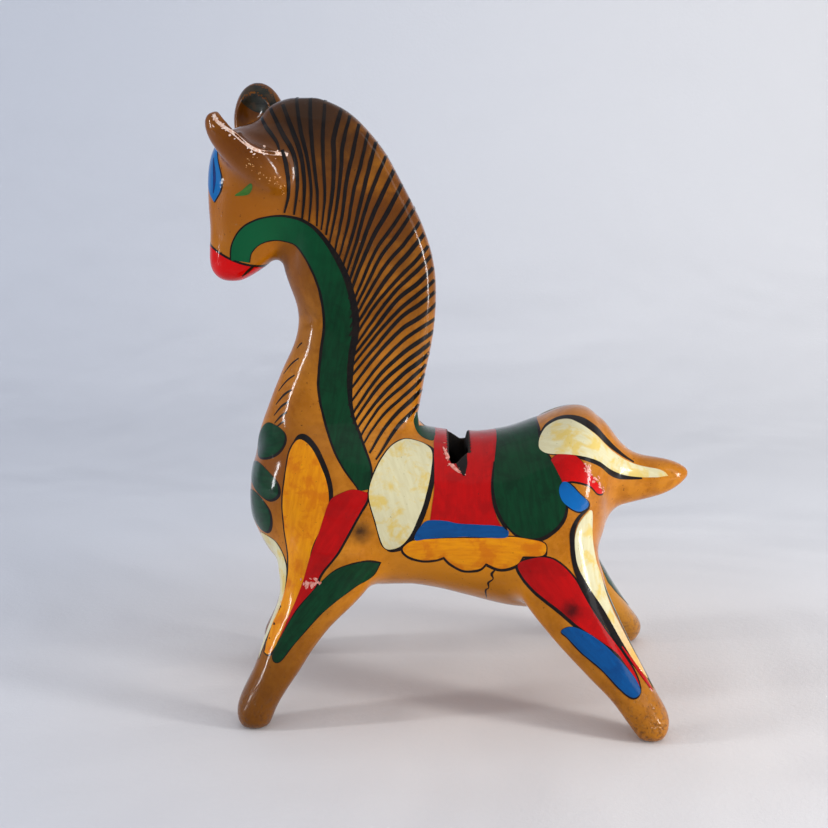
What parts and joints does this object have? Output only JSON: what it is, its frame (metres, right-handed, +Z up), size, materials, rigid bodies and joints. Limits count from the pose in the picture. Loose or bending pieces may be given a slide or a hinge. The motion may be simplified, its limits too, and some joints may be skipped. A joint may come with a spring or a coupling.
{
  "type": "painted clay horse coin bank",
  "caption": "Hand-built clay horse coin bank with an arched mane, splayed legs, a coin slot across the back and painted leaves.",
  "frame": {"origin": "on the floor, under the middle of the whole horse's box", "axes": "+Z up, the nose towards -X and the tail towards +X, the horse's left flank towards -Y"},
  "size_m": [0.1289, 0.0832, 0.1657],
  "materials": {
    "clay": "fired earthenware under clear gloss varnish, mottled ochre brown",
    "paint_red": "brushed gloss paint",
    "paint_green": "brushed gloss paint",
    "paint_blue": "brushed gloss paint",
    "paint_yellow": "brushed gloss paint",
    "paint_cream": "brushed gloss paint, aged",
    "paint_black": "thin brush lines under gloss varnish"
  },
  "bodies": {
    "root": {"barrel_left": "clay", "barrel_right": "clay", "neck_and_mane_left": "clay", "neck_and_mane_right": "clay", "head": "clay", "ear_left": "clay", "ear_right": "clay", "front_leg_left": "clay", "front_leg_right": "clay", "hind_leg_left": "clay", "hind_leg_right": "clay", "tail": "clay"}
  },
  "joints": []
}
